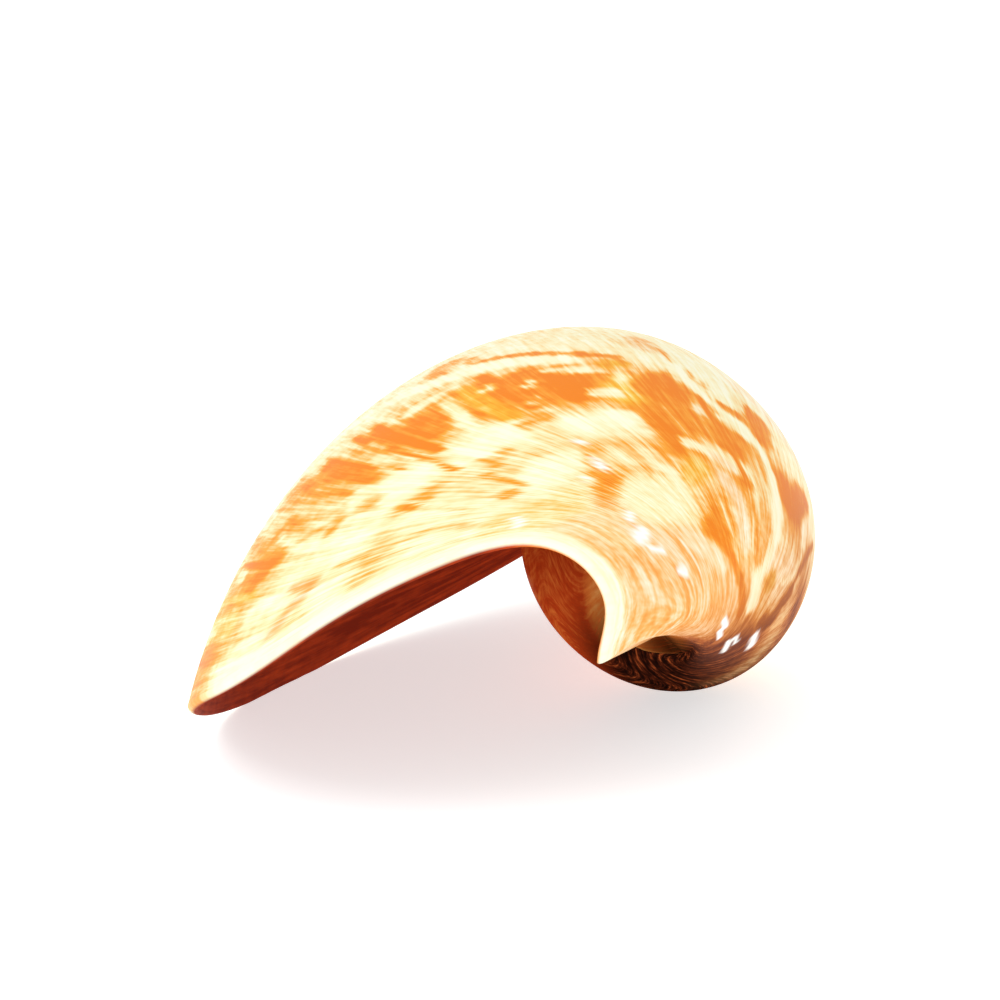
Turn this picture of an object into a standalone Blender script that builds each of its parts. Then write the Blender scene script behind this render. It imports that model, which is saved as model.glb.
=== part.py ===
"""Melon shell: the empty shell of a large sea snail of the melon volute kind, lying on its opening.

The whole shell is one grown piece, so it is one solid. The growing edge went round a long axis
once for every whorl, and each whorl nearly hides the one before it. The last half turn flares into
a wide lip. Lengths are in millimetres up to the very end, where they become metres.
"""

import bpy
import numpy as np

for old in list(bpy.data.objects):
    bpy.data.objects.remove(old, do_unlink=True)

# Stations along the growing edge, from the back seam round the outer lip to the front tip.
# Each row: radius of the slow coil, place along the axis, how far the lip flares, angle in degrees.
EDGE = np.array([
    (10.0, -2.0, 0.0, 227.0),
    (19.5, -3.8, 14.2, 220.4),
    (27.2, 8.5, 40.4, 212.5),
    (31.5, 31.6, 66.5, 207.4),
    (34.8, 57.9, 81.3, 203.2),
    (38.8, 87.6, 79.4, 197.7),
    (41.2, 119.9, 68.1, 190.9),
    (37.5, 149.9, 50.0, 179.7),
    (29.4, 166.5, 31.0, 155.9),
    (19.2, 170.9, 23.3, 129.6),
    (8.7, 177.3, 15.7, 120.0),
    (5.6, 181.7, 10.7, 147.2),
])
COIL_GROWTH = 0.044      # growth of the coil radius per radian
LENGTH_GROWTH = 0.11     # growth along the axis per radian
FRONT_GROWTH = 0.073     # the same at the front tip
FLARE_TURN = 1.16        # radians over which the lip's flare dies away
WALL = 3.2               # wall thickness inside the last whorl
LIP = 2.8                # wall thickness at the lip's edge
REST_PITCH = 1.2         # degrees that the front end is raised when the shell lies at rest
REST_ROLL = 7.1          # degrees that it leans over onto its lip
WEAR = 0.7               # depth worn flat where it touches the floor
MM = 0.001

TURN = 2 * np.pi
CAVITY_TURN = -9.6       # the hollow ends this many radians behind the lip
TIP_SPARED = 0.07        # end part of the edge that the hollow's ceiling leaves out, deep inside
SPARED_FROM = 1.2        # radians behind the lip where it leaves out that much
PILLAR = 7.0             # radius of the solid post round the axis, deep inside
BACK_WALL = 4.0          # extra thickness of the back end behind the hollow
PIT = 140.0              # place along the axis of the bottom of the front pit
PIT_RINGS = (0.75, 0.45, 0.2)     # its rings, as shares of the way from the bottom to the rim
POST_BULGE = 4.0         # roundness of the post's outer side
APEX = -4.6              # place along the axis of the top of the smooth first whorl
CROWN_RINGS = (5.8, 3.8, 1.9)     # radii of the rings on that first whorl

FOLD_FIRST = 0.30        # place of the first fold along the inner lip, 0 at the tip
FOLD_STEP = 0.15         # distance between folds along the inner lip
FOLD_HEIGHT = 1.1        # height of a fold above and below the mean line
SWELL = 1.0              # how far the post swells between its ends
FLOOR_START = 0.18       # where the inner lip's line begins on the whorl before
FLOOR_END = 0.87         # where it runs into the post

ROWS = 44                # growth stages on the outside
COLUMNS = 34             # columns from the back seam to the front tip
CORNER = 6               # the column that runs along the seam with the whorl before
COLUMELLA_ROWS = 18      # rows along the inner lip
DEPTH_ROWS = 36          # rings along the hollow
POST_LIP = 12            # rows of the inner lip that the post's outer side reaches
POST_RIDGE = 23          # stages of the winding ridge that it reaches


def spline(values, at):
    """Natural cubic spline through evenly spaced values, read at positions from 0 to 1."""
    n = len(values) - 1
    a = np.zeros((n + 1, n + 1))
    b = np.zeros(n + 1)
    a[0, 0] = a[n, n] = 1.0
    for i in range(1, n):
        a[i, i - 1:i + 2] = (1.0, 4.0, 1.0)
        b[i] = 6.0 * (values[i - 1] - 2.0 * values[i] + values[i + 1])
    second = np.linalg.solve(a, b)
    x = np.clip(np.asarray(at, float), 0.0, 1.0) * n
    i = np.minimum(x.astype(int), n - 1)
    t = x - i
    s = 1.0 - t
    return (s * values[i] + t * values[i + 1]
            + ((s ** 3 - s) * second[i] + (t ** 3 - t) * second[i + 1]) / 6.0)


def ease(x):
    """0 below 0, 1 above 1, a smooth step between."""
    x = np.clip(x, 0.0, 1.0)
    return x * x * (3.0 - 2.0 * x)


def soft(x):
    """x where it is well above zero, easing to zero below."""
    return 0.5 * (x + np.sqrt(x * x + 4.0))


def outside(stage, u):
    """The outer face at a growth stage (radians, 0 at the lip) and a place u along the edge.

    The coil's radius and its length shrink evenly going back, the flare dies away much faster,
    and the whole edge turns about the axis. Axes: right, up, forward along the shell's axis.
    """
    stage, u = np.broadcast_arrays(np.asarray(stage, float), np.asarray(u, float))
    coil, along, flare, angle = (spline(EDGE[:, k], u) for k in range(4))
    radius = np.exp(COIL_GROWTH * stage) * coil + np.exp(stage / FLARE_TURN) * flare
    turn = stage + np.radians(angle)
    lengthening = LENGTH_GROWTH + (FRONT_GROWTH - LENGTH_GROWTH) * ease((u - 0.6) / 0.4)
    forward = np.exp(lengthening * stage) * along
    return np.stack([radius * np.cos(turn), radius * np.sin(turn), forward], -1)


def outward(stage, u):
    """Unit normal of the outer face, from small steps both ways."""
    e = 1e-3
    u = np.clip(u, 2 * e, 1 - 2 * e)
    across = outside(stage, u + e) - outside(stage, u - e)
    back = outside(stage + e, u) - outside(stage - e, u)
    n = np.cross(back, across)
    return n / np.linalg.norm(n, axis=-1, keepdims=True)


def inside(stage, u):
    """The inner face: the outer face set in by the wall's thickness, thinner at the lip."""
    wall = LIP + (WALL - LIP) * (1.0 - np.exp(np.asarray(stage) / 0.35))
    wall = np.broadcast_to(wall, np.broadcast(stage, u).shape)
    return outside(stage, u) - wall[..., None] * outward(stage, u)


def columns(start, end):
    """Places along the edge for every column: seam part, then the open part up to the tip."""
    j = np.arange(COLUMNS + 1)
    low = start * j / CORNER
    s = (j - CORNER) / (COLUMNS - CORNER)
    return np.where(j <= CORNER, low, start + (end - start) * s)


def seam_place(stage):
    """Where along the edge the inner face leaves the whorl before."""
    return 0.06 + 0.11 * (1.0 - np.exp(stage / FLARE_TURN))


# Outer face: one full turn back from the lip.
stages = -TURN * np.linspace(0.0, 1.0, ROWS + 1)
outer = np.zeros((ROWS + 1, COLUMNS + 1, 3))
for i, stage in enumerate(stages):
    share = i / ROWS
    start = seam_place(0.0) + (FLOOR_START - seam_place(0.0)) * share
    end = 1.0 - (1.0 - FLOOR_END) * ease((share - 0.45) / 0.55)
    outer[i] = outside(stage, columns(start, end))


def inner_lip(stage, top, bottom):
    """The post's face from the tip down to the whorl before, gently swollen, with oblique folds.

    The folds keep their place along this line at every stage, so they run round as ridges.
    """
    c = np.linspace(0.0, 1.0, COLUMELLA_ROWS + 2)[1:-1]
    r0, r1 = np.hypot(top[0], top[1]), np.hypot(bottom[0], bottom[1])
    a0, a1 = np.arctan2(top[1], top[0]), np.arctan2(bottom[1], bottom[0])
    a1 = a0 + (a1 - a0 + np.pi) % TURN - np.pi
    size = np.exp(COIL_GROWTH * stage)
    folds = np.cos(TURN * (c - FOLD_FIRST) / FOLD_STEP) * ease((c - 0.1) / 0.15) * ease((0.8 - c) / 0.2)
    folds = folds * ease((stage - CAVITY_TURN) / 3.0)
    radius = r0 + (r1 - r0) * c + size * (FOLD_HEIGHT * folds + SWELL * np.sin(np.pi * c))
    turn = a0 + (a1 - a0) * c
    forward = top[2] + (bottom[2] - top[2]) * c
    return np.stack([radius * np.cos(turn), radius * np.sin(turn), forward], -1)


# Hollow: rings going back from the lip. The ceiling is the inner face, the floor is the outer
# face one whorl before, and the inner lip joins them along the post.
back = CAVITY_TURN * np.linspace(0.0, 1.0, DEPTH_ROWS + 1) ** 1.25
rings = []
for stage in back:
    last_place = 1.0 - TIP_SPARED * ease(-stage / SPARED_FROM)
    ceiling = inside(stage, columns(seam_place(stage), last_place)[CORNER:])
    floor = outside(stage - TURN, columns(FLOOR_START, FLOOR_END)[CORNER:])
    flat = np.hypot(floor[:, 0], floor[:, 1])
    inner = ease((-stage - 3.6) / 2.4)
    want = flat + inner * (np.minimum(flat, PILLAR) - flat)
    floor[:, :2] *= (want / flat)[:, None]
    low = 1.5 + BACK_WALL * ease(-stage / 4.0)
    for line in (ceiling, floor):
        line[:, 2] = low + soft(line[:, 2] - low)
    rings.append([ceiling, inner_lip(stage, ceiling[-1], floor[-1]), floor])

vertices = []
triangles = []


def add(points):
    """Adds a block of points and returns their numbers in the same layout."""
    points = np.asarray(points, float)
    first = sum(len(block) for block in vertices)
    vertices.append(points.reshape(-1, 3))
    return first + np.arange(points.size // 3).reshape(points.shape[:-1])


def join(a, b, closed=False):
    """Two triangles between neighbours in two equally long lists, split along the short diagonal."""
    a, b = np.asarray(a), np.asarray(b)
    if closed:
        a, b = np.append(a, a[0]), np.append(b, b[0])
    at = np.concatenate(vertices)
    for p, q, r, s in zip(a[:-1], a[1:], b[1:], b[:-1]):
        if np.linalg.norm(at[p] - at[r]) <= np.linalg.norm(at[q] - at[s]):
            triangles.extend([(p, q, r), (p, r, s)])
        else:
            triangles.extend([(p, q, s), (q, r, s)])


def unit(v):
    """The same directions, one long."""
    return v / np.linalg.norm(v, axis=-1, keepdims=True)


def fan(loop, pole):
    """Closes a loop with triangles to one point."""
    middle = add(pole)
    for p, q in zip(loop, np.append(loop[1:], loop[0])):
        triangles.append((p, q, middle))


def cap(loop, pole, shares):
    """Closes a loop of points with rings that shrink to a pole and a fan in the middle."""
    rim = np.concatenate(vertices)[loop]
    last = loop
    for share in shares:
        now = add(pole + (rim - pole) * share)
        join(last, now, True)
        last = now
    fan(last, pole)


def along_chain(line, shares):
    """Points at even shares of the number of steps along a line of points."""
    steps = np.arange(len(line)) / (len(line) - 1)
    return np.stack([np.interp(shares, steps, line[:, k]) for k in range(3)], -1)


def zip_chains(a, b):
    """Triangles between two lists of points of any lengths, walked together from end to end."""
    i = j = 0
    while i < len(a) - 1 or j < len(b) - 1:
        if j == len(b) - 1 or (i < len(a) - 1 and (i + 1) / (len(a) - 1) <= (j + 1) / (len(b) - 1)):
            corners = (a[i], a[i + 1], b[j])
            i += 1
        else:
            corners = (a[i], b[j + 1], b[j])
            j += 1
        if len(set(corners)) == 3:
            triangles.append(corners)


shell = add(outer)
for i in range(ROWS):
    join(shell[i], shell[i + 1])

# The lip's edge, rounded between the outer and the inner face.
ceiling, lip_line, floor = rings[0]
ceiling_at = add(ceiling)
lip_at = add(lip_line)
far = np.concatenate([outer[ROWS, :CORNER], ceiling])
forth = outside(0.0, columns(seam_place(0.0), 1.0)) - outside(-0.01, columns(seam_place(0.0), 1.0))
forth /= np.linalg.norm(forth, axis=-1, keepdims=True)
swell = 0.4 * LIP * ease((np.arange(COLUMNS + 1) - CORNER + 2.0) / 3.0)
edge_at = add(0.5 * (outer[0] + far) + swell[:, None] * forth)
join(edge_at, shell[0])
join(np.concatenate([shell[ROWS, :CORNER + 1]]), edge_at[:CORNER + 1])
join(ceiling_at, edge_at[CORNER:])
triangles.append((shell[ROWS, CORNER], ceiling_at[0], edge_at[CORNER]))

# The hollow's wall, ring by ring, and its blind end.
loop = np.concatenate([ceiling_at, lip_at, shell[ROWS, CORNER:][::-1]])
for ceiling, lip_line, floor in rings[1:]:
    now = add(np.concatenate([ceiling, lip_line, floor[::-1]]))
    join(now, loop, True)
    loop = now
zip_chains(loop[::-1][:COLUMNS - CORNER + COLUMELLA_ROWS + 2], loop[:COLUMNS - CORNER + 1])

# The smooth first whorl at the back, a low dome inside the spiral seam.
last = np.append(shell[:, 0], edge_at[0])
turn = np.radians(EDGE[0, 3]) - TURN * np.arange(len(last)) / len(last)
for radius in CROWN_RINGS:
    height = APEX + (radius / EDGE[0, 0]) ** 2 * (EDGE[0, 1] - APEX)
    now = add(np.stack([radius * np.cos(turn), radius * np.sin(turn), 0.0 * turn + height], -1))
    join(last, now, True)
    last = now
fan(last, (0.0, 0.0, APEX))

# The post's outer side: a rounded strip from the inner lip to the ridge that winds round it.
near = np.concatenate([shell[ROWS:, COLUMNS], lip_at[::-1][:POST_LIP]])
ridge = shell[::-1, COLUMNS][:POST_RIDGE]
at = np.concatenate(vertices)
steps = np.linspace(0.0, 1.0, POST_LIP + 1)
left, right = along_chain(at[near], steps), along_chain(at[ridge], steps)
across = right - left
bulge = unit(np.stack([across[:, 1], -across[:, 0], 0.0 * across[:, 0]], -1) + 1e-9)
last = near
top_line = [near[-1]]
for share in (0.25, 0.5, 0.75):
    strip = left + share * across + (POST_BULGE * np.sin(np.pi * share) * ease(steps * 1.6))[:, None] * bulge
    now = np.append(near[0], add(strip[1:]))
    zip_chains(now, last)
    top_line.append(now[-1])
    last = now
zip_chains(ridge, last)

# The pit at the front end, between the tip and the ridge that winds into it.
lip_end = lip_at[::-1][POST_LIP:]
mouth = np.concatenate([
    top_line[:1], lip_end, [ceiling_at[-1], edge_at[-1]],
    shell[:ROWS + 2 - POST_RIDGE, COLUMNS], top_line[:0:-1],
])
cap(mouth[::-1], np.array([0.0, 0.0, PIT]), PIT_RINGS)

# From the growth frame (right, up, forward) to the library's frame, lying at rest on the floor.
points = np.concatenate(vertices)
points = np.stack([points[:, 0], -points[:, 2], points[:, 1]], -1)
pitch, roll = np.radians(REST_PITCH), np.radians(REST_ROLL)
tip = np.array([[1.0, 0.0, 0.0], [0.0, np.cos(pitch), -np.sin(pitch)], [0.0, np.sin(pitch), np.cos(pitch)]])
lean = np.array([[np.cos(roll), 0.0, np.sin(roll)], [0.0, 1.0, 0.0], [-np.sin(roll), 0.0, np.cos(roll)]])
points = points @ (lean @ tip).T
points[:, 2] = np.maximum(points[:, 2] - points[:, 2].min() - WEAR, 0.0)
middle = 0.5 * (points.min(axis=0) + points.max(axis=0))
points[:, :2] -= middle[:2]

mesh = bpy.data.meshes.new("melon_shell")
mesh.from_pydata((points * MM).tolist(), [], [tuple(int(v) for v in t) for t in triangles])
mesh.validate()
mesh.update()
melon_shell = bpy.data.objects.new("melon_shell", mesh)
bpy.context.scene.collection.objects.link(melon_shell)

glossy = bpy.data.materials.new("shell_surface")
glossy.use_nodes = True
surface = glossy.node_tree.nodes["Principled BSDF"]
surface.inputs["Base Color"].default_value = (0.92, 0.55, 0.25, 1.0)
surface.inputs["Roughness"].default_value = 0.3
mesh.materials.append(glossy)
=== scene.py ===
"""The looks of a melon shell: the empty shell of a large sea snail, lying on its opening."""

import bpy
import numpy as np
from mathutils import Matrix, Vector


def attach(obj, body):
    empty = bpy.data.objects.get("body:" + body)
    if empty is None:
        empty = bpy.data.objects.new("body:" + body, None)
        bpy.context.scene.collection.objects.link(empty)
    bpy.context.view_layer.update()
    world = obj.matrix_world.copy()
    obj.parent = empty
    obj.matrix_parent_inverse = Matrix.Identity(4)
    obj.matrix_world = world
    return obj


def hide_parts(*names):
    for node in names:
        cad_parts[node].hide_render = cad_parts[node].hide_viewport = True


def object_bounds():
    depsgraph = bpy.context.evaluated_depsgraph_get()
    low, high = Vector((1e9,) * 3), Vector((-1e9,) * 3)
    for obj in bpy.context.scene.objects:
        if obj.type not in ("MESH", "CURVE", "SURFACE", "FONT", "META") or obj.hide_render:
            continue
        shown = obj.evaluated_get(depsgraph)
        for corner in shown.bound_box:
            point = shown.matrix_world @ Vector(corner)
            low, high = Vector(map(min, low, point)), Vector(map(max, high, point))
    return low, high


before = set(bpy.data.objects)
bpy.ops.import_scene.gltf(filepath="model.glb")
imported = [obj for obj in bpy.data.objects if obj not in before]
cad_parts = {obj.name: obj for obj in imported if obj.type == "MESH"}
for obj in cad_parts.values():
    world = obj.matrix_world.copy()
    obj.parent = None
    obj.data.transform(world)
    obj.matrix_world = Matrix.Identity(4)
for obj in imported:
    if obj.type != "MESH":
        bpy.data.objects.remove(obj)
cad_box = [list(corner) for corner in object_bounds()]

# The shell
# One piece of shell lime, laid down by the animal's edge as it went round a long axis, so every
# growth line runs from the back seam, round the outer lip, to the twisted front end of the post.
# Each station of the edge: coil radius, place along the axis, flare of the lip, angle in degrees.
# Lengths are in millimetres and turns in radians, as in the solid.
EDGE = np.array([
    (10.0, -2.0, 0.0, 227.0),
    (19.5, -3.8, 14.2, 220.4),
    (27.2, 8.5, 40.4, 212.5),
    (31.5, 31.6, 66.5, 207.4),
    (34.8, 57.9, 81.3, 203.2),
    (38.8, 87.6, 79.4, 197.7),
    (41.2, 119.9, 68.1, 190.9),
    (37.5, 149.9, 50.0, 179.7),
    (29.4, 166.5, 31.0, 155.9),
    (19.2, 170.9, 23.3, 129.6),
    (8.7, 177.3, 15.7, 120.0),
    (5.6, 181.7, 10.7, 147.2),
])
COIL_GROWTH = 0.044
LENGTH_GROWTH, FRONT_GROWTH = 0.11, 0.073
FRONT_FROM = 0.6
FLARE_TURN = 1.16
TURN = 2 * np.pi


def spline(values, at):
    """Natural cubic spline through evenly spaced values, read at positions from 0 to 1."""
    n = len(values) - 1
    slope = np.eye(n + 1)
    slope[1:-1] = 4.0 * np.eye(n + 1)[1:-1] + np.eye(n + 1)[:-2] + np.eye(n + 1)[2:]
    bend = np.zeros(n + 1)
    bend[1:-1] = 6.0 * (values[:-2] - 2.0 * values[1:-1] + values[2:])
    second = np.linalg.solve(slope, bend)
    x = np.clip(np.asarray(at, float), 0.0, 1.0) * n
    i = np.minimum(x.astype(int), n - 1)
    t = x - i
    s = 1.0 - t
    return (s * values[i] + t * values[i + 1]
            + ((s ** 3 - s) * second[i] + (t ** 3 - t) * second[i + 1]) / 6.0)


def ease(x):
    """0 below 0, 1 above 1, the smooth step 3x2 - 2x3 between."""
    x = np.clip(x, 0.0, 1.0)
    return x * x * (3.0 - 2.0 * x)


def soft(x):
    """x where it is well above zero, easing to zero below."""
    return 0.5 * (x + np.sqrt(x * x + 4.0))


def unit(v):
    """The same directions, one long."""
    return v / np.linalg.norm(v, axis=-1, keepdims=True)


def outside(stage, place):
    """Outer face at a growth stage (radians, 0 at the lip) and a place from back seam 0 to tip 1.

    Radius = coil radius grown evenly + flare grown fast; angle = the stage + the station's angle;
    height along the axis grown evenly. Axes: right, up, forward.
    """
    stage, place = np.broadcast_arrays(np.asarray(stage, float), np.asarray(place, float))
    coil, along, flare, angle = (spline(EDGE[:, k], place) for k in range(4))
    radius = np.exp(COIL_GROWTH * stage) * coil + np.exp(stage / FLARE_TURN) * flare
    turn = stage + np.radians(angle)
    to_front = ease((place - FRONT_FROM) / (1.0 - FRONT_FROM))
    lengthening = LENGTH_GROWTH + (FRONT_GROWTH - LENGTH_GROWTH) * to_front
    forward = np.exp(lengthening * stage) * along
    return np.stack([radius * np.cos(turn), radius * np.sin(turn), forward], -1)


def outward(stage, place):
    """Unit normal of the outer face, the cross product of small steps along and across growth."""
    e = 1e-3
    place = np.clip(place, 2 * e, 1 - 2 * e)
    across = outside(stage, place + e) - outside(stage, place - e)
    back = outside(stage + e, place) - outside(stage - e, place)
    return unit(np.cross(back, across))


WALL, LIP, LIP_TURN = 3.2, 2.8, 0.35


def inside(stage, place):
    """Inner face: the outer face set in by the wall, which thins towards the lip's edge."""
    wall = LIP + (WALL - LIP) * (1.0 - np.exp(stage / LIP_TURN))
    wall = np.broadcast_to(wall, np.broadcast(stage, place).shape)
    return outside(stage, place) - wall[..., None] * outward(stage, place)


COLUMNS, CORNER = 160, 18


def columns(start, end):
    """Places for every column: an even run up to the seam's place, then an even run to the end."""
    j = np.arange(COLUMNS + 1)
    s = (j - CORNER) / (COLUMNS - CORNER)
    return np.where(j <= CORNER, start * j / CORNER, start + (end - start) * s)


SEAM_AT_LIP, SEAM_DRIFT = 0.06, 0.11


def seam_place(stage):
    """Where along the edge the inner face leaves the whorl before: it drifts forward with depth."""
    return SEAM_AT_LIP + SEAM_DRIFT * (1.0 - np.exp(stage / FLARE_TURN))


LIP_ROWS, CAVITY_TURN = 48, -9.6
FOLD_FIRST, FOLD_STEP, FOLD_HEIGHT, FOLDS_END_TURN, SWELL = 0.30, 0.15, 1.1, 3.0, 1.0


def inner_lip(stage, top, bottom):
    """The post's face: a line from tip to floor in turn and radius, swollen, with cosine folds.

    The folds fade out at both ends of the line and towards the blind end of the hollow.
    """
    c = np.linspace(0.0, 1.0, LIP_ROWS + 2)[1:-1]
    r0, r1 = (np.hypot(end[..., 0], end[..., 1])[:, None] for end in (top, bottom))
    a0, a1 = (np.arctan2(end[..., 1], end[..., 0])[:, None] for end in (top, bottom))
    a1 = a0 + (a1 - a0 + np.pi) % TURN - np.pi
    folds = np.cos(TURN * (c - FOLD_FIRST) / FOLD_STEP)
    folds = folds * ease((c - 0.1) / 0.15) * ease((0.8 - c) / 0.2)
    folds = folds * ease((stage - CAVITY_TURN) / FOLDS_END_TURN)
    relief = FOLD_HEIGHT * folds + SWELL * np.sin(np.pi * c)
    radius = r0 + (r1 - r0) * c + np.exp(COIL_GROWTH * stage) * relief
    turn = a0 + (a1 - a0) * c
    forward = top[:, None, 2] + (bottom[:, None, 2] - top[:, None, 2]) * c
    return np.stack([radius * np.cos(turn), radius * np.sin(turn), forward], -1)


def painted(points, stage, place, inner, glaze_and_shade):
    """Points with four more columns that the finish reads: stage, place, inner face, glaze and
    painted shade.
    """
    extra = [np.broadcast_to(v, points.shape[:-1]) for v in (stage, place, inner, glaze_and_shade)]
    return np.concatenate([points, np.stack(extra, -1)], -1)


blocks = []
faces = []


def add(points):
    """Adds a block of painted points and gives their numbers in the same layout."""
    first = sum(len(block) for block in blocks)
    blocks.append(points.reshape(-1, 7))
    return first + np.arange(blocks[-1].shape[0]).reshape(points.shape[:-1])


def sheet(grid):
    """Quads between the rows of a grid of point numbers, facing the same way all over."""
    grid = np.asarray(grid)
    quads = np.stack([grid[:-1, :-1], grid[:-1, 1:], grid[1:, 1:], grid[1:, :-1]], -1)
    faces.extend(quads.reshape(-1, 4).tolist())


def ring_sheet(grid):
    """The same for rows that close on themselves."""
    grid = np.asarray(grid)
    sheet(np.concatenate([grid, grid[:, :1]], 1))


def zipped(a, b):
    """Triangles between two lines of any lengths: both are walked together by their even shares."""
    a, b = np.asarray(a), np.asarray(b)
    share = np.concatenate([np.arange(1, len(line)) / (len(line) - 1) for line in (a, b)])
    on_a = np.repeat([True, False], [len(a) - 1, len(b) - 1])[np.argsort(share, kind="stable")]
    i, j = np.cumsum(on_a), np.cumsum(~on_a)
    third = np.where(on_a, a[i], b[j])
    made = np.stack([a[i - on_a], third, b[j - ~on_a]], -1)
    whole = (made[:, 0] != made[:, 1]) & (made[:, 1] != made[:, 2]) & (made[:, 0] != made[:, 2])
    faces.extend(made[whole].tolist())


def fan(loop, pole):
    """Triangles from a closed line to one point."""
    middle = add(pole[None])[0]
    loop = np.asarray(loop)
    faces.extend(np.stack([loop, np.roll(loop, -1), np.full(len(loop), middle)], -1).tolist())


def along(line, shares):
    """A line of painted points read at shares of its number of steps."""
    steps = np.arange(len(line)) / (len(line) - 1)
    return np.stack([np.interp(shares, steps, line[:, k]) for k in range(line.shape[1])], -1)


# Outer face, one full turn back from the lip, in rows that lie closer together near the lip.
ROWS, CROWDING = 340, 1.5
FLOOR_START, FLOOR_END = 0.18, 0.87
share = np.linspace(0.0, 1.0, ROWS + 1)[:, None] ** CROWDING
stage = -TURN * share
start = seam_place(0.0) + (FLOOR_START - seam_place(0.0)) * share
end = 1.0 - (1.0 - FLOOR_END) * ease((share - 0.45) / 0.55)
place = columns(start, end)
outer = painted(outside(stage, place), stage, place, 0.0, 0.0)
shell = add(outer)
sheet(shell)

# Hollow: the ceiling is the inner face, the floor is the outer face one whorl before, narrowed to
# the post deep inside, and the inner lip joins them.
DEPTH_ROWS, DEPTH_CROWDING = 76, 1.25
TIP_SPARED, SPARED_FROM = 0.07, 1.2
PILLAR, PILLAR_FROM, PILLAR_OVER = 7.0, 3.6, 2.4
FRONT_WALL, BACK_WALL, BACK_WALL_TURN = 1.5, 4.0, 4.0
depth = CAVITY_TURN * np.linspace(0.0, 1.0, DEPTH_ROWS + 1)[:, None] ** DEPTH_CROWDING
open_places = columns(seam_place(depth), 1.0 - TIP_SPARED * ease(-depth / SPARED_FROM))[:, CORNER:]
ceiling = inside(depth, open_places)
floor_places = columns(FLOOR_START, FLOOR_END)[CORNER:]
floor = outside(depth - TURN, floor_places)
flat = np.hypot(floor[..., 0], floor[..., 1])
narrowed = ease((-depth - PILLAR_FROM) / PILLAR_OVER)
want = flat + narrowed * (np.minimum(flat, PILLAR) - flat)
floor[..., :2] *= (want / flat)[..., None]
low = FRONT_WALL + BACK_WALL * ease(-depth / BACK_WALL_TURN)
for line in (ceiling, floor):
    line[..., 2] = low + soft(line[..., 2] - low)
lip_line = inner_lip(depth, ceiling[:, -1], floor[:, -1])
lip_share = np.linspace(0.0, 1.0, LIP_ROWS)
ceiling = painted(ceiling, depth, open_places, 1.0, 0.0)
lip_places = 1.0 - (1.0 - FLOOR_END) * lip_share
lip_line = painted(lip_line, depth - TURN * ease(lip_share), lip_places, 1.0, lip_share)
floor = painted(floor, depth - TURN, floor_places, 0.0, 1.0)

# The lip's edge, a half round between the outer and the inner face. The glaze and painted shade of
# the inside start sharply part of the way round it.
ROUNDING, ROUNDNESS, GLAZE_AND_SHADE_FROM, GLAZE_AND_SHADE_OVER = 7, 0.45, 0.4, 0.2
far = np.concatenate([outer[ROWS, :CORNER], ceiling[0]])
forth = unit(outside(0.0, open_places[0]) - outside(-0.01, open_places[0]))
forth = np.concatenate([np.repeat(forth[:1], CORNER, 0), forth])
swell = ROUNDNESS * LIP * ease((np.arange(COLUMNS + 1) - CORNER + 6.0) / 9.0)
round_turn = np.pi * np.arange(1, ROUNDING + 1)[:, None, None] / (ROUNDING + 1)
rim = 0.5 * (outer[0] + far) + 0.5 * (outer[0] - far) * np.cos(round_turn)
rim[..., :3] += np.sin(round_turn) * swell[:, None] * forth
rim[..., 3] = 0.0
rim[..., 5] = ease((rim[..., 5] - GLAZE_AND_SHADE_FROM) / GLAZE_AND_SHADE_OVER)
edge_at = add(rim)
ceiling_at, lip_at = add(ceiling[0]), add(lip_line[0])
sheet(np.concatenate([edge_at[::-1], shell[:1]]))
sheet([shell[ROWS, :CORNER + 1], edge_at[-1, :CORNER + 1]])
sheet([ceiling_at, edge_at[-1, CORNER:]])
faces.append([shell[ROWS, CORNER], ceiling_at[0], edge_at[-1, CORNER]])

# The hollow's wall, ring by ring, and its blind end.
rings = add(np.concatenate([ceiling[1:], lip_line[1:], floor[1:, ::-1]], 1))
mouth_ring = np.concatenate([ceiling_at, lip_at, shell[ROWS, CORNER:][::-1]])
rings = np.concatenate([mouth_ring[None], rings])
ring_sheet(rings[::-1])
blind = rings[-1]
zipped(blind[::-1][:COLUMNS - CORNER + LIP_ROWS + 2], blind[:COLUMNS - CORNER + 1])

# The smooth first whorl at the back, a low dome inside the spiral seam.
APEX, DOME_RINGS = -4.6, 7
crown = np.concatenate([shell[:, 0], edge_at[::-1, 0]])
gap = np.arange(ROUNDING, 0, -1) / len(crown)
turn = np.append(stage[:, 0] * (1.0 - (ROUNDING + 1) / len(crown)), -TURN * (1.0 - gap))
turn = turn + np.radians(EDGE[0, 3])
radius = EDGE[0, 0] * np.linspace(0.0, 1.0, DOME_RINGS + 2)[-2:0:-1, None]
height = APEX + (radius / EDGE[0, 0]) ** 2 * (EDGE[0, 1] - APEX) + 0.0 * turn
dome = np.stack([radius * np.cos(turn), radius * np.sin(turn), height], -1)
dome = painted(dome, turn, 0.0, 0.0, 0.0)
crown_rings = np.concatenate([crown[None], add(dome)])
ring_sheet(crown_rings)
fan(crown_rings[-1], np.array([0.0, 0.0, APEX, 0.0, 0.0, 0.0, 0.0]))

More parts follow.
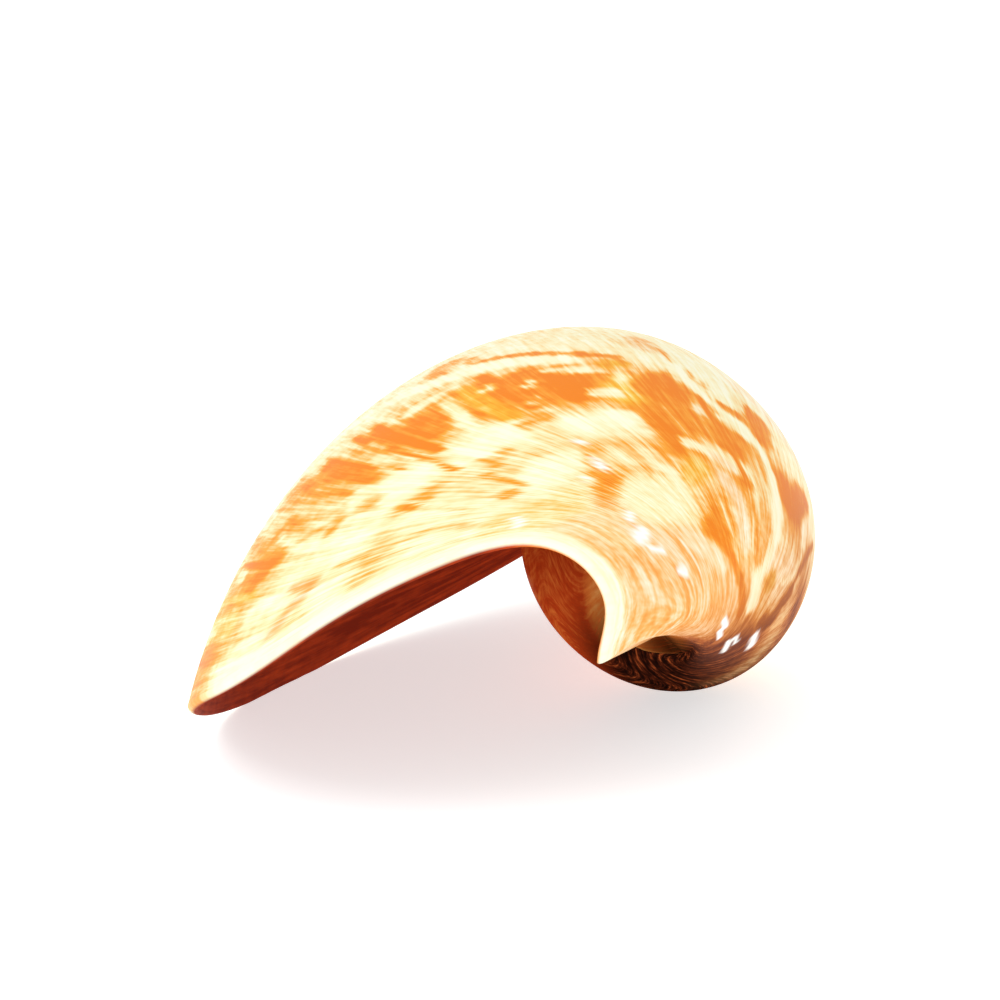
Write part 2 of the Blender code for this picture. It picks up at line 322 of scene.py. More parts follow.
# The post's outer side: a rounded strip from the inner lip to the ridge that winds round it.
POST_SHARE, POST_BULGE, BULGE_RISE, STRIPS = 12 / 18, 4.0, 1.6, 10
post_rows, ridge_rows = round(POST_SHARE * LIP_ROWS), int((stage <= -np.pi).sum())
every = np.concatenate(blocks)
near = np.concatenate([shell[ROWS:, COLUMNS], lip_at[::-1][:post_rows]])
ridge = shell[::-1, COLUMNS][:ridge_rows]
steps = np.linspace(0.0, 1.0, post_rows + 1)
left, right = along(every[near], steps), along(every[ridge], steps)
across = (right - left)[:, :3]
bulge = unit(np.stack([across[:, 1], -across[:, 0], 0.0 * across[:, 0]], -1) + 1e-9)
strip_lines = [near]
for strip_share in np.arange(1, STRIPS) / STRIPS:
    strip = left + strip_share * (right - left)
    rise = POST_BULGE * np.sin(np.pi * strip_share) * ease(steps * BULGE_RISE)
    strip[:, :3] += rise[:, None] * bulge
    strip_lines.append(np.concatenate([near[:1], add(strip[1:])]))
for now, last in zip(strip_lines[1:], strip_lines[:-1]):
    zipped(now, last)
zipped(ridge, strip_lines[-1])

# The pit at the front end, between the tip and the ridge that winds into it. Its deepest point
# carries the same seven columns as the rest: x, y, z, stage, place, inner face, glaze and painted
# shade.
# Its stage and glaze value darken the pit with painted shade.
PIT_POINT, PIT_RINGS = np.array([0.0, 0.0, 140.0, -1.6, 1.0, 0.0, 0.2]), 11
pit_mouth = np.concatenate([
    near[-1:], lip_at[::-1][post_rows:], ceiling_at[-1:], edge_at[::-1, -1],
    shell[:ROWS + 2 - ridge_rows, COLUMNS], [line[-1] for line in strip_lines[:0:-1]],
])[::-1]
every = np.concatenate(blocks)
shrink = np.linspace(1.0, 0.0, PIT_RINGS + 2)[1:-1, None, None]
pit = add(PIT_POINT + (every[pit_mouth] - PIT_POINT) * shrink)
pit_rings = np.concatenate([pit_mouth[None], pit])
ring_sheet(pit_rings)
fan(pit_rings[-1], PIT_POINT)

# From the growth frame to the frame of the library, lying at rest, fitted to the solid's box.
every = np.concatenate(blocks)
points = np.stack([every[:, 0], -every[:, 2], every[:, 1]], -1)
pitch, roll = np.radians(1.2), np.radians(7.1)
WEAR = 0.7
tip = np.array([[1, 0, 0], [0, np.cos(pitch), -np.sin(pitch)], [0, np.sin(pitch), np.cos(pitch)]])
lean = np.array([[np.cos(roll), 0, np.sin(roll)], [0, 1, 0], [-np.sin(roll), 0, np.cos(roll)]])
points = points @ (lean @ tip).T
points[:, 2] = np.maximum(points[:, 2] - points[:, 2].min() - WEAR, 0.0)
low_corner, high_corner = points.min(axis=0), points.max(axis=0)
box_low, box_high = np.array(cad_box)
points = box_low + (points - low_corner) * (box_high - box_low) / (high_corner - low_corner)

# The pattern: orange on cream, laid down with the growth lines. Tone runs from 0, cream, to 1, deep
# orange; blush turns it pink, gold turns it yellow and the stain, partly painted shade, darkens it
# to brown.
stage, place = every[:, 3], every[:, 4]
on_outside = np.arange(len(every)) < outer[..., 0].size


def hump(x):
    """1 at 0, falling smoothly to 0 at -1 and 1."""
    return ease(1.0 - np.abs(x))


# Three bands wind round the shell, each at a place that drifts back with age, with its half width
# and how deep it is. The middle and the back band are broken into patches.
CREAM, BAND_DRIFT = 0.15, 0.05
MIDDLE_BAND, BACK_BAND, FRONT_BAND = (0.53, 0.07, 0.7), (0.16, 0.09, 0.75), (0.66, 0.06, 0.3)


def band(middle, half_width, deepness):
    """How deep a band is at each point: a hump across the growth lines."""
    return deepness * hump((place + BAND_DRIFT * stage - middle) / half_width)


patches = 0.5 + 0.5 * np.sin(5.1 * stage + 2.2 * np.sin(14.0 * place) + 1.3 * np.sin(2.3 * stage))
tone = CREAM + band(*MIDDLE_BAND) * (0.55 + 0.45 * patches)
tone = tone + band(*BACK_BAND) * ease(1.6 * patches) + band(*FRONT_BAND)

# The fan of the front end is pink near the lip and deep orange further back, and the underside is
# stained and darkened with painted shade, most of all where it is old and near the pit.
FAN_FROM, FAN_OVER, FAN_TONE, FAN_DEEPER, FAN_BLUSH = 0.76, 0.08, 0.46, 0.45, 0.9
STAIN_AND_SHADE_SLANT, STAIN_AND_SHADE_MIDDLE, STAIN_AND_SHADE_FROM, STAIN_AND_SHADE_OVER = 5.0, 0.8, 1.2, 2.5
front = ease((place - FAN_FROM) / FAN_OVER)
tone = tone + (FAN_TONE + FAN_DEEPER * ease((-stage - 1.3) / 0.9) - tone) * front
blush = FAN_BLUSH * front * (1.0 - ease((-stage - 1.6) / 1.2))
gold = np.zeros(len(every))
# The stain darkens the old underside: partly real stain, partly painted shade.
stain_and_shade = ease((-stage + STAIN_AND_SHADE_SLANT * (place - STAIN_AND_SHADE_MIDDLE) - STAIN_AND_SHADE_FROM) / STAIN_AND_SHADE_OVER)
stain_and_shade = stain_and_shade * ease((place - 0.45) / 0.2)

# The patches, streaks and pale lines that are seen one by one, painted over the bands in order.
# Each has its half width in mm, its tone, a tint and how strong that is, then its line as pairs of
# stage and place.
STROKES = [
    (7.0, 0.14, "", 0.0, (-0.12, 0.72), (-0.35, 0.68), (-0.60, 0.72)),
    (7.0, 0.10, "", 0.0, (-0.10, 0.66), (-0.40, 0.64)),
    (5.0, 0.34, "gold", 0.3, (-0.12, 0.765), (-0.30, 0.765), (-0.48, 0.76)),
    (5.0, 0.30, "", 0.0, (-0.55, 0.69), (-0.75, 0.68)),
    (5.0, 0.62, "", 0.0, (-0.46, 0.56), (-0.70, 0.57)),
    (6.0, 0.80, "", 0.0, (-1.50, 0.64), (-2.00, 0.635)),
    (5.0, 0.75, "", 0.0, (-1.48, 0.69), (-1.60, 0.67)),
    (4.0, 0.62, "", 0.0, (-1.60, 0.695), (-1.95, 0.695)),
    (6.0, 0.38, "", 0.0, (-2.00, 0.69), (-2.25, 0.68)),
    (8.0, 0.16, "blush", 0.5, (-2.15, 0.50), (-2.70, 0.54)),
    (5.0, 0.48, "", 0.0, (-1.95, 0.79), (-2.20, 0.79)),
    (0.9, 0.50, "", 0.0, (-0.365, 0.588), (-0.40, 0.60), (-0.443, 0.613), (-0.465, 0.63),
     (-0.455, 0.653)),
    (0.9, 0.42, "", 0.0, (-0.224, 0.652), (-0.25, 0.686), (-0.267, 0.70), (-0.25, 0.728)),
    (3.0, 0.75, "", 0.0, (-0.03, 0.55), (-0.07, 0.50)),
    (0.8, 1.00, "", 0.0, (-0.065, 0.545), (-0.08, 0.50)),
    (4.0, 0.35, "gold", 0.5, (-0.15, 0.56), (-0.15, 0.50)),
    (1.5, 0.55, "gold", 0.6, (-0.215, 0.575), (-0.21, 0.50)),
    (3.0, 0.85, "", 0.0, (-0.25, 0.56), (-0.32, 0.575)),
    (3.0, 0.60, "", 0.0, (-0.35, 0.53), (-0.37, 0.48)),
    (1.4, 1.00, "", 0.0, (-0.30, 0.575), (-0.295, 0.51)),
    (2.0, 0.95, "", 0.0, (-0.385, 0.545), (-0.40, 0.545)),
    (2.5, 0.20, "", 0.0, (-0.27, 0.53), (-0.275, 0.515)),
    # A small white-pink fleck here is a painted highlight.
    (1.0, 0.10, "", 0.0, (-0.355, 0.58), (-0.37, 0.56)),
    (3.0, 0.35, "", 0.0, (-0.42, 0.54), (-0.42, 0.515)),
    (3.5, 0.50, "", 0.0, (-0.47, 0.60), (-0.47, 0.50)),
    (3.0, 0.70, "", 0.0, (-0.53, 0.59), (-0.54, 0.49)),
    (3.5, 0.85, "", 0.0, (-0.60, 0.60), (-0.60, 0.53)),
    (2.2, 0.35, "", 0.0, (-0.645, 0.60), (-0.66, 0.585)),
    (1.2, 0.40, "", 0.0, (-0.70, 0.56), (-0.73, 0.56)),
    (0.8, 1.00, "", 0.0, (-0.655, 0.655), (-0.69, 0.635), (-0.705, 0.61), (-0.71, 0.58)),
    (0.6, 0.70, "", 0.0, (-0.61, 0.645), (-0.645, 0.61)),
    (1.1, 0.95, "", 0.0, (-0.435, 0.665), (-0.455, 0.645), (-0.49, 0.622)),
    (0.7, 0.45, "", 0.0, (-0.38, 0.71), (-0.43, 0.67)),
    (1.5, 0.65, "", 0.0, (-0.36, 0.615), (-0.44, 0.61)),
    (1.8, 1.00, "", 0.0, (-0.755, 0.62), (-0.76, 0.535)),
    (1.0, 0.95, "", 0.0, (-0.71, 0.55), (-0.71, 0.525)),
    (3.0, 0.95, "", 0.0, (-0.82, 0.60), (-0.83, 0.57)),
    (2.0, 0.85, "", 0.0, (-0.84, 0.59), (-0.90, 0.585)),
    (1.5, 0.30, "", 0.0, (-0.80, 0.55), (-0.80, 0.54)),
    (1.6, 0.45, "blush", 1.0, (-0.06, 0.625), (-0.12, 0.63), (-0.19, 0.64), (-0.20, 0.62)),
    (2.0, 0.55, "", 0.0, (-0.50, 0.662), (-0.56, 0.658)),
    (0.8, 0.40, "", 0.0, (-0.23, 0.655), (-0.30, 0.655)),
    (2.0, 0.70, "", 0.0, (-0.48, 0.715), (-0.51, 0.715)),
    (1.0, 0.45, "", 0.0, (-0.25, 0.72), (-0.27, 0.71)),
    (0.9, 0.75, "", 0.0, (-0.59, 0.71), (-0.63, 0.68), (-0.70, 0.675)),
    (1.5, 0.65, "", 0.0, (-0.72, 0.67), (-0.74, 0.66)),
    (2.0, 0.60, "", 0.0, (-0.78, 0.665), (-0.82, 0.66)),
    (3.0, 0.50, "blush", 0.6, (-0.56, 0.775), (-0.70, 0.755)),
    (3.5, 0.70, "", 0.0, (-0.72, 0.75), (-0.86, 0.73)),
    (2.0, 0.85, "", 0.0, (-0.82, 0.735), (-0.87, 0.715)),
    (1.5, 0.70, "", 0.0, (-0.86, 0.72), (-0.92, 0.70), (-1.00, 0.69)),
    (6.0, 0.03, "", 0.0, (-0.52, 0.635), (-0.60, 0.635)),
    (5.0, 0.03, "", 0.0, (-0.70, 0.705), (-0.85, 0.70)),
    (5.0, 0.02, "", 0.0, (-0.76, 0.645), (-0.95, 0.64)),
    (3.5, 0.07, "", 0.0, (-0.92, 0.60), (-0.99, 0.58)),
    (2.5, 0.10, "", 0.0, (-0.85, 0.55), (-1.00, 0.545)),
    (7.0, 0.12, "gold", 0.3, (-0.85, 0.77), (-1.20, 0.75)),
    (5.0, 0.60, "", 0.0, (-1.03, 0.49), (-1.08, 0.465)),
    (2.0, 0.50, "", 0.0, (-1.14, 0.50), (-1.16, 0.485)),
    (10.0, 0.86, "", 0.0, (-1.05, 0.585), (-1.35, 0.592)),
    (9.0, 0.86, "", 0.0, (-1.10, 0.585), (-1.30, 0.59)),
    (3.0, 0.80, "gold", 0.8, (-1.02, 0.62), (-1.02, 0.56)),
    (1.5, 1.00, "", 0.0, (-1.11, 0.62), (-1.11, 0.545)),
    (2.0, 1.00, "", 0.0, (-1.29, 0.62), (-1.30, 0.585)),
    (2.0, 1.00, "", 0.0, (-1.20, 0.565), (-1.23, 0.56)),
    (2.0, 0.95, "", 0.0, (-1.33, 0.61), (-1.38, 0.595)),
    (1.8, 0.30, "gold", 0.3, (-1.06, 0.572), (-1.09, 0.57)),
    (1.3, 0.12, "", 0.0, (-1.185, 0.585), (-1.215, 0.582)),
    (1.2, 0.50, "", 0.0, (-1.12, 0.612), (-1.16, 0.608)),
    (6.0, 0.60, "gold", 1.0, (-1.50, 0.61), (-1.60, 0.60)),
    (2.5, 0.35, "gold", 0.7, (-1.53, 0.59), (-1.57, 0.585)),
    (2.5, 0.75, "gold", 0.8, (-1.53, 0.565), (-1.60, 0.56)),
    (2.0, 0.12, "", 0.0, (-1.30, 0.567), (-1.40, 0.573), (-1.48, 0.575)),
    (2.0, 0.10, "", 0.0, (-1.37, 0.612), (-1.47, 0.612)),
    (7.0, 0.85, "", 0.0, (-1.67, 0.60), (-1.84, 0.58)),
    (4.0, 0.02, "", 0.0, (-1.13, 0.652), (-1.38, 0.648)),
    (6.0, 0.50, "", 0.0, (-1.02, 0.70), (-1.40, 0.69)),
    (4.0, 0.85, "", 0.0, (-1.45, 0.68), (-1.52, 0.66)),
    (4.0, 0.60, "gold", 0.6, (-1.40, 0.715), (-1.50, 0.70)),
    (10.0, 0.55, "", 0.0, (-1.40, 0.76), (-1.90, 0.74)),
    (3.2, 0.95, "", 0.0, (-1.17, 0.79), (-1.28, 0.79)),
    (2.0, 0.90, "", 0.0, (-1.27, 0.785), (-1.34, 0.758)),
    (1.6, 0.90, "", 0.0, (-1.25, 0.80), (-1.36, 0.818), (-1.45, 0.826)),
    (1.6, 0.85, "stain_and_shade", 0.12, (-1.45, 0.826), (-1.60, 0.84), (-1.70, 0.85)),
    (2.0, 0.12, "", 0.0, (-1.57, 0.67), (-1.70, 0.67)),
    (2.0, 0.25, "blush", 0.6, (-1.72, 0.675), (-1.82, 0.68)),
    (1.5, 0.85, "", 0.0, (-1.84, 0.69), (-1.94, 0.685)),
    (2.5, 0.95, "", 0.0, (-1.86, 0.652), (-1.97, 0.65)),
    (1.2, 0.12, "", 0.0, (-1.89, 0.672), (-1.97, 0.668)),
    (2.5, 0.20, "blush", 0.5, (-1.84, 0.615), (-1.89, 0.612)),
    (2.0, 0.85, "", 0.0, (-1.93, 0.62), (-1.97, 0.60)),
    (1.2, 0.90, "", 0.0, (-1.86, 0.50), (-1.875, 0.55), (-1.885, 0.60), (-1.905, 0.65),
     (-1.913, 0.678)),
    (0.9, 0.03, "", 0.0, (-1.89, 0.554), (-1.93, 0.576), (-1.96, 0.593)),
    (9.0, 0.06, "", 0.0, (-1.96, 0.56), (-2.05, 0.50)),
    (1.0, 0.60, "", 0.0, (-1.92, 0.56), (-1.92, 0.545)),
    (1.5, 0.40, "", 0.0, (-1.95, 0.57), (-2.00, 0.56)),
    (4.0, 0.40, "blush", 0.5, (-1.78, 0.51), (-1.82, 0.47)),
    (3.0, 0.08, "", 0.0, (-2.00, 0.61), (-2.15, 0.615)),
    (1.6, 0.90, "", 0.0, (-2.03, 0.59), (-2.10, 0.59), (-2.15, 0.595)),
    (1.0, 0.80, "", 0.0, (-2.13, 0.595), (-2.20, 0.58), (-2.25, 0.555)),
    (4.0, 0.85, "", 0.0, (-2.27, 0.60), (-2.31, 0.57)),
    (7.0, 0.30, "blush", 0.6, (-2.15, 0.75), (-2.45, 0.72)),
    (6.5, 0.97, "", 0.0, (-2.38, 0.645), (-2.50, 0.64), (-2.66, 0.63)),
    (3.0, 0.90, "", 0.0, (-2.60, 0.61), (-2.75, 0.60)),
    (3.0, 0.20, "blush", 0.4, (-2.70, 0.645), (-2.80, 0.62)),
    (2.5, 0.70, "gold", 0.5, (-2.02, 0.775), (-2.08, 0.765)),
    (2.5, 0.95, "stain_and_shade", 0.15, (-2.25, 0.80), (-2.40, 0.785), (-2.50, 0.745), (-2.62, 0.715)),
    (1.2, 1.00, "stain_and_shade", 0.20, (-2.62, 0.70), (-2.75, 0.675), (-2.90, 0.635), (-3.00, 0.61)),
    (0.8, 0.05, "", 0.0, (-2.30, 0.742), (-2.45, 0.725), (-2.62, 0.697), (-2.70, 0.67)),
    (1.0, 0.05, "", 0.0, (-2.66, 0.66), (-2.76, 0.652)),
    (1.8, 0.85, "", 0.0, (-1.16, 0.508), (-1.25, 0.517), (-1.35, 0.53), (-1.45, 0.54),
     (-1.60, 0.548)),
    (3.6, 0.00, "", 0.0, (-0.70, 0.46), (-0.85, 0.49), (-1.00, 0.515), (-1.20, 0.532),
     (-1.38, 0.55)),
    (1.6, 0.00, "", 0.0, (-1.85, 0.54), (-1.90, 0.583), (-1.98, 0.597), (-2.12, 0.604),
     (-2.22, 0.62), (-2.25, 0.645)),
    (2.4, 0.00, "", 0.0, (-2.25, 0.645), (-2.23, 0.68), (-2.16, 0.71)),
    (1.6, 0.00, "", 0.0, (-2.16, 0.71), (-1.94, 0.758), (-1.78, 0.795)),
    (2.6, 0.00, "", 0.0, (-1.76, 0.798), (-1.82, 0.825)),
    (2.6, 0.28, "gold", 0.2, (-0.95, 0.565), (-0.93, 0.59)),
    (2.2, 0.08, "", 0.0, (-0.92, 0.597), (-0.88, 0.622)),
    (3.0, 0.30, "", 0.0, (-1.05, 0.70), (-1.22, 0.70)),
    (1.6, 0.12, "", 0.0, (-1.20, 0.714), (-1.27, 0.717)),
    (3.0, 0.24, "blush", 0.8, (-1.68, 0.70), (-1.71, 0.715)),
    (3.0, 0.30, "blush", 0.6, (-1.67, 0.735), (-1.57, 0.775)),
    (2.5, 0.26, "blush", 0.7, (-0.86, 0.822), (-1.18, 0.83)),
    (2.6, 0.32, "blush", 0.5, (-0.24, 0.81), (-0.30, 0.845)),
    (2.0, 0.62, "", 0.0, (-1.00, 0.638), (-1.12, 0.632)),
    (1.5, 0.50, "", 0.0, (-0.48, 0.62), (-0.52, 0.625)),
    (2.5, 0.30, "blush", 0.8, (-0.34, 0.478), (-0.44, 0.49)),
]
# White flecks, painted highlights where the glossy surface catches the light: half width and line.
GLINTS = [
    (1.2, (-0.91, 0.715), (-0.945, 0.705)), (0.6, (-0.735, 0.73), (-0.76, 0.727)),
    (1.0, (-1.02, 0.678), (-1.05, 0.674)), (0.8, (-0.14, 0.775), (-0.20, 0.77), (-0.25, 0.757)),
    (2.0, (-0.44, 0.835), (-0.48, 0.83)), (1.0, (-0.50, 0.81), (-0.56, 0.80)),
    (1.0, (-0.46, 0.85), (-0.54, 0.848)), (1.2, (-0.655, 0.868), (-0.70, 0.868)),
    (1.5, (-2.38, 0.81), (-2.55, 0.806)), (1.0, (-2.06, 0.872), (-2.30, 0.868)),
    (0.8, (-2.06, 0.858), (-2.20, 0.852)), (1.2, (-1.53, 0.882), (-1.64, 0.88)),
    (0.8, (-1.64, 0.895), (-1.80, 0.895)),
]


SPREAD, STEEPNESS, NEAR_TURN, STEPS_A_LEG = 1.25, 1.7, 1.2, 6


def cover(half_width, line):
    """How far a stroke covers each point: an eased slope of the distance to its line in space.

    1 up to about half its half width, 0 from a little beyond it.
    """
    line = np.array(line)
    steps = np.linspace(0.0, len(line) - 1.0, STEPS_A_LEG * (len(line) - 1) + 1)
    track = outside(*(np.interp(steps, np.arange(len(line)), line[:, k]) for k in range(2)))
    near = on_outside & (np.abs(stage - line[:, 0].mean()) < NEAR_TURN)
    at = every[near, :3]
    best = np.full(len(at), np.inf)
    for a, b in zip(track[:-1], track[1:]):
        t = np.clip((at - a) @ (b - a) / ((b - a) @ (b - a)), 0.0, 1.0)
        best = np.minimum(best, np.linalg.norm(at - a - t[:, None] * (b - a), axis=1))
    amount = np.zeros(len(every))
    amount[near] = ease(STEEPNESS * (SPREAD - best / half_width) / SPREAD)
    return amount


for half_width, deepness, tint, strength, *line in STROKES:
    amount = cover(half_width, line)
    tone += (deepness - tone) * amount
    for name, tinted in (("blush", blush), ("gold", gold)):
        tinted += ((strength if tint == name else 0.0) - tinted) * amount
    if tint == "stain_and_shade":
        stain_and_shade += (np.maximum(stain_and_shade, strength) - stain_and_shade) * amount
glint = np.zeros(len(every))
for half_width, *line in GLINTS:
    glint = np.maximum(glint, cover(half_width, line))

# Along the lip runs a cream margin, wide at the front end and nearly gone where the patches
# reach it.
MARGIN, FRONT_MARGIN, MARGIN_PALE, DEEPER = 0.09, 0.10, 0.95, 0.06
margin_turn = MARGIN + FRONT_MARGIN * ease((place - 0.74) / 0.08)
reached = 0.8 * ease((0.58 - place) / 0.03) * ease((place - 0.40) / 0.1)
margin = ease(1.0 + stage / margin_turn) * (1.0 - reached)
tone = (tone + DEEPER) * (1.0 - MARGIN_PALE * margin)
blush *= 1.0 - margin

# Growth lines lead at the shoulder of the front end and trail into the pit. Coordinates in
# millimetres across and along them, for the fine streaks: the radius is that of the coil and the
# flare in the middle of the lip.
LEAD, TRAIL = 0.2, 0.5
COIL_RADIUS, FLARE_RADIUS, EDGE_LENGTH = 40.0, 80.0, 290.0
lead = LEAD * np.maximum(-stage - 0.3, 0.0) * ease((place - 0.67) / 0.14)
trail = TRAIL * ease((-stage - 0.1) / 0.8) * ease((place - 0.80) / 0.14)
age = stage - lead + trail
grain = COIL_RADIUS * age - FLARE_RADIUS * FLARE_TURN * (1.0 - np.exp(age / FLARE_TURN))
growth = np.stack([grain, EDGE_LENGTH * place, np.zeros(len(every))], -1)

# The glaze lines the hollow and reaches the oldest part of the outer face, under the lip. Its dark
# red-brown is partly painted shade, deepest inside the hollow and under the shell.
GLAZE_AND_SHADE_TURN, GLAZE_AND_SHADE_TURN_OVER, GLAZE_AND_SHADE_GLOW = 4.4, 1.2, 0.5
glazed_and_shaded = np.where(on_outside, ease((-stage - GLAZE_AND_SHADE_TURN) / GLAZE_AND_SHADE_TURN_OVER), every[:, 6])
front = np.maximum(front, GLAZE_AND_SHADE_GLOW * glazed_and_shaded)
lining_and_shade = np.maximum(every[:, 5], glazed_and_shaded)

mesh = bpy.data.meshes.new("melon_shell_skin")
mesh.from_pydata(points.tolist(), [], faces)
mesh.update()
mesh.shade_smooth()
for name, values in (("tone", tone), ("blush", blush), ("gold", gold), ("stain_and_shade", stain_and_shade),
                     ("glint", glint), ("lining_and_shade", lining_and_shade), ("front", front)):
    layer = mesh.attributes.new(name, "FLOAT", "POINT")
    layer.data.foreach_set("value", values.astype(np.float32))
layer = mesh.attributes.new("growth", "FLOAT_VECTOR", "POINT")
layer.data.foreach_set("vector", growth.astype(np.float32).ravel())
melon_shell = bpy.data.objects.new("melon_shell_skin", mesh)
bpy.context.scene.collection.objects.link(melon_shell)

# The finish: the pattern broken up into streaks along the growth lines, under a natural gloss.
finish = bpy.data.materials.new("shell_finish")
finish.use_nodes = True
nodes, links = finish.node_tree.nodes, finish.node_tree.links
surface = nodes["Principled BSDF"]


def srgb(red, green, blue):
    """A colour as seen on a screen, 0 to 255, as the linear colour that a material takes."""
    c = np.array((red, green, blue)) / 255.0
    return (*np.where(c <= 0.04045, c / 12.92, ((c + 0.055) / 1.055) ** 2.4), 1.0)


def mark(name):
    """The output of a named attribute of the mesh, as a plain number."""
    node = nodes.new("ShaderNodeAttribute")
    node.attribute_name = name
    return node.outputs["Fac"]


def reckon(operation, a, b):
    """One sum of two values, each a socket or a number."""
    node = nodes.new("ShaderNodeMath")
    node.operation = operation
    for value, socket in zip((a, b), node.inputs):
        if isinstance(value, (int, float)):
            socket.default_value = value
        else:
            links.new(value, socket)
    return node.outputs[0]


def streaks(across, lengthwise, detail):
    """Noise stretched along the growth lines, with its grain in millimetres both ways."""
    node = nodes.new("ShaderNodeMapping")
    node.inputs["Scale"].default_value = (1.0 / across, 1.0 / lengthwise, 1.0)
    links.new(growth_mark.outputs["Vector"], node.inputs["Vector"])
    noise = nodes.new("ShaderNodeTexNoise")
    noise.noise_dimensions = "2D"
    noise.inputs["Scale"].default_value = 1.0
    noise.inputs["Detail"].default_value = detail
    noise.inputs["Roughness"].default_value = 0.6
    links.new(node.outputs[0], noise.inputs["Vector"])
    return noise.outputs["Fac"]


def scale_of(value, stops):
    """A run of colours over a value, given as pairs of position and colour."""
    node = nodes.new("ShaderNodeValToRGB")
    links.new(value, node.inputs[0])
    ramp = node.color_ramp
    while len(ramp.elements) < len(stops):
        ramp.elements.new(1.0)
    for element, (position, color) in zip(ramp.elements, stops):
        element.position = position
        element.color = srgb(*color)
    return node.outputs[0]


def blend(amount, low, high):
    """Two colours mixed by an amount."""
    node = nodes.new("ShaderNodeMix")
    node.data_type = "RGBA"
    for value, socket in zip((amount, low, high), (node.inputs[0], node.inputs[6], node.inputs[7])):
        if isinstance(value, tuple):
            socket.default_value = value
        else:
            links.new(value, socket)
    return node.outputs[2]


growth_mark = nodes.new("ShaderNodeAttribute")
growth_mark.attribute_name = "growth"
broad = reckon("SUBTRACT", streaks(5.0, 26.0, 2.0), 0.5)
thin_lines = streaks(1.4, 15.0, 3.0)
arcs = streaks(5.5, 18.0, 3.0)
fine = reckon("SUBTRACT", blend(mark("front"), thin_lines, arcs), 0.5)
flecks = reckon("SUBTRACT", streaks(3.4, 3.0, 1.0), 0.5)
worn = reckon("ADD", reckon("MULTIPLY", broad, 0.9), reckon("MULTIPLY", fine, 1.5))
worn = reckon("ADD", worn, reckon("MULTIPLY", flecks, 0.5))

# The streaks show most between cream and deep orange, and are faint on clean cream.
held = reckon("MULTIPLY", mark("tone"), reckon("SUBTRACT", 1.1, mark("tone")))
held = reckon("ADD", reckon("MULTIPLY", held, 1.6), 0.25)
shown = reckon("ADD", mark("tone"), reckon("MULTIPLY", worn, held))
plain = scale_of(shown, [(0.0, (253, 249, 220)), (0.15, (251, 242, 198)), (0.33, (250, 226, 168)),
                         (0.5, (249, 200, 126)), (0.7, (248, 166, 56)), (1.0, (240, 132, 24))])
pink = scale_of(shown, [(0.0, (254, 248, 232)), (0.2, (252, 228, 196)), (0.42, (249, 206, 152)),
                        (0.62, (246, 178, 100)), (1.0, (236, 134, 36))])
yellow = scale_of(shown, [(0.0, (254, 250, 218)), (0.25, (251, 238, 178)), (0.5, (246, 212, 104)),
                          (0.75, (245, 182, 50)), (1.0, (240, 150, 24))])
brown = scale_of(shown, [(0.0, (234, 190, 130)), (0.4, (206, 130, 66)), (0.7, (170, 88, 36)),
                         (1.0, (110, 46, 16))])

# The old underside is near black with brown streaks: partly dirt, partly painted shade under the
# shell.
# The glaze inside is red-brown, more orange at the front: partly its own colour, partly painted
# shade.
dirt_and_shade_streaks = reckon("ADD", reckon("MULTIPLY", worn, 0.7), 0.52)
dirt_and_shade = scale_of(dirt_and_shade_streaks, [(0.2, (156, 76, 36)), (0.4, (74, 29, 14)), (0.6, (32, 12, 7)),
                        (0.9, (13, 5, 4))])
# The inside runs from dark red-brown deep in, painted shade, to orange at the front.
glow = reckon("ADD", reckon("MULTIPLY", mark("front"), 0.55), 0.27)
glow = reckon("ADD", reckon("MULTIPLY", worn, 0.3), glow)
inside_glaze_and_shade = scale_of(glow, [(0.2, (128, 38, 15)), (0.5, (194, 70, 26)), (0.75, (240, 140, 62)),
                               (0.95, (255, 184, 100))])

# The first half of the stain and painted shade browns the pattern, the second half darkens it to
# near black.
twice = reckon("MULTIPLY", mark("stain_and_shade"), 2.0)
color = blend(mark("blush"), plain, pink)
color = blend(mark("gold"), color, yellow)
color = blend(reckon("MINIMUM", twice, 1.0), color, brown)
color = blend(reckon("MAXIMUM", reckon("SUBTRACT", twice, 1.0), 0.0), color, dirt_and_shade)
# White flecks: painted highlights.
color = blend(mark("glint"), color, srgb(255, 254, 248))
color = blend(mark("lining_and_shade"), color, inside_glaze_and_shade)
links.new(color, surface.inputs["Base Color"])

# The natural gloss is a thin coat, gone under the stain and painted shade and weak on the glaze.
GLOSS = 0.35
dull = reckon("MAXIMUM", mark("stain_and_shade"), reckon("MULTIPLY", mark("lining_and_shade"), 0.75))
links.new(reckon("SUBTRACT", GLOSS, reckon("MULTIPLY", dull, GLOSS)), surface.inputs["Coat Weight"])
surface.inputs["Coat Roughness"].default_value = 0.22
surface.inputs["Roughness"].default_value = 0.32
surface.inputs["Specular IOR Level"].default_value = 0.0
bump = nodes.new("ShaderNodeBump")
bump.inputs["Strength"].default_value = 0.25
bump.inputs["Distance"].default_value = 0.0004
links.new(fine, bump.inputs["Height"])
links.new(bump.outputs[0], surface.inputs["Normal"])
mesh.materials.append(finish)

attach(melon_shell, "root")
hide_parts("melon_shell")

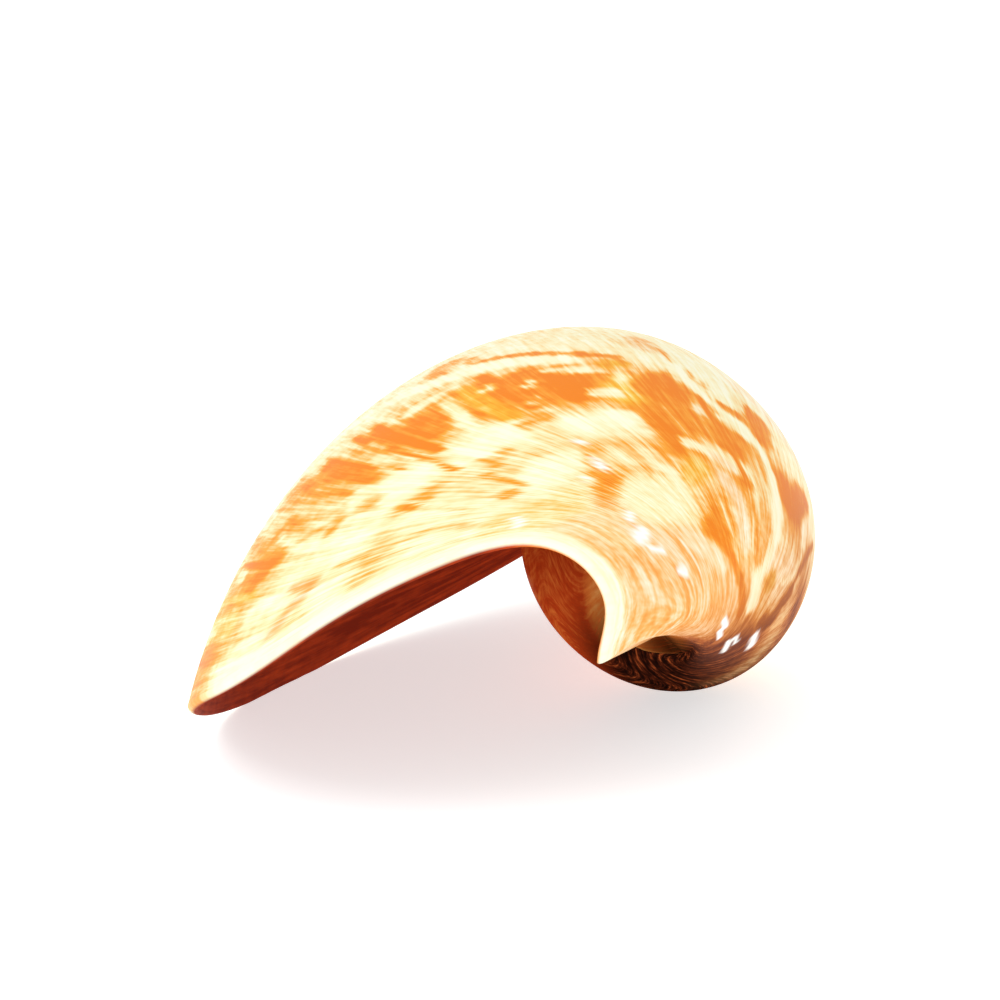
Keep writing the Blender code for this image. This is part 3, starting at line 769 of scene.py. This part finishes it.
# The floor
# A plain pale sheet under the shell, lit a little from below like a light table, so its shadows
# stay faint. It is not part of the object.
FLOOR_SIDE = 6.0
half = FLOOR_SIDE / 2
floor_corners = [(-half, -half, 0), (half, -half, 0), (half, half, 0), (-half, half, 0)]
floor_mesh = bpy.data.meshes.new("studio_floor")
floor_mesh.from_pydata(floor_corners, [], [(0, 1, 2, 3)])
studio_floor = bpy.data.objects.new("studio_floor", floor_mesh)
bpy.context.scene.collection.objects.link(studio_floor)
paper = bpy.data.materials.new("floor_paper")
paper.use_nodes = True
paper_surface = paper.node_tree.nodes["Principled BSDF"]
paper_surface.inputs["Base Color"].default_value = (0.7, 0.72, 0.72, 1)
paper_surface.inputs["Roughness"].default_value = 0.8
paper_surface.inputs["Emission Color"].default_value = (1, 1, 1, 1)
paper_surface.inputs["Emission Strength"].default_value = 0.62
floor_mesh.materials.append(paper)

# The light
# A soft lamp above on the left, a weaker one on the right, a low one in front that reaches into the
# opening, and an even pale surround. All aim just above the floor under the shell.
world = bpy.data.worlds.new("studio")
bpy.context.scene.world = world
world.use_nodes = True
world.node_tree.nodes["Background"].inputs["Color"].default_value = (1, 1, 1, 1)
world.node_tree.nodes["Background"].inputs["Strength"].default_value = 0.8


AIM = Vector((0, 0, 0.03))


def lamp(name, stand_at, size, watts):
    """An area lamp of a given size at one place, turned to the aim."""
    light = bpy.data.lights.new(name, "AREA")
    light.size = size
    light.energy = watts
    stand = bpy.data.objects.new(name, light)
    stand.location = stand_at
    stand.rotation_euler = (AIM - Vector(stand_at)).to_track_quat("-Z", "Y").to_euler()
    bpy.context.scene.collection.objects.link(stand)


lamp("key_lamp", (-0.45, -0.25, 0.75), 0.35, 2.25)
lamp("front_lamp", (-0.15, -0.85, 0.12), 0.5, 0.95)
lamp("side_lamp", (0.8, -0.4, 0.5), 0.4, 0.7)
bpy.context.scene.view_settings.view_transform = "Standard"

# The camera
# A long lens in front of the shell's narrow end and above it, with the small turn about its own
# axis with which the photograph was taken.
CAMERA_PLACE = (0.03234, -0.71884, 0.25483)
CAMERA_YAW, CAMERA_DIP, CAMERA_ROLL = 2.243, 15.545, 8.381
camera = bpy.data.objects.new("camera", bpy.data.cameras.new("camera"))
camera.data.lens = 112.28
camera.location = CAMERA_PLACE
turn_left = Matrix.Rotation(np.radians(CAMERA_YAW), 4, "Z")
look_down = Matrix.Rotation(np.radians(90 - CAMERA_DIP), 4, "X")
lean_over = Matrix.Rotation(np.radians(-CAMERA_ROLL), 4, "Z")
camera.rotation_euler = (turn_left @ look_down @ lean_over).to_euler()
bpy.context.scene.collection.objects.link(camera)
bpy.context.scene.camera = camera
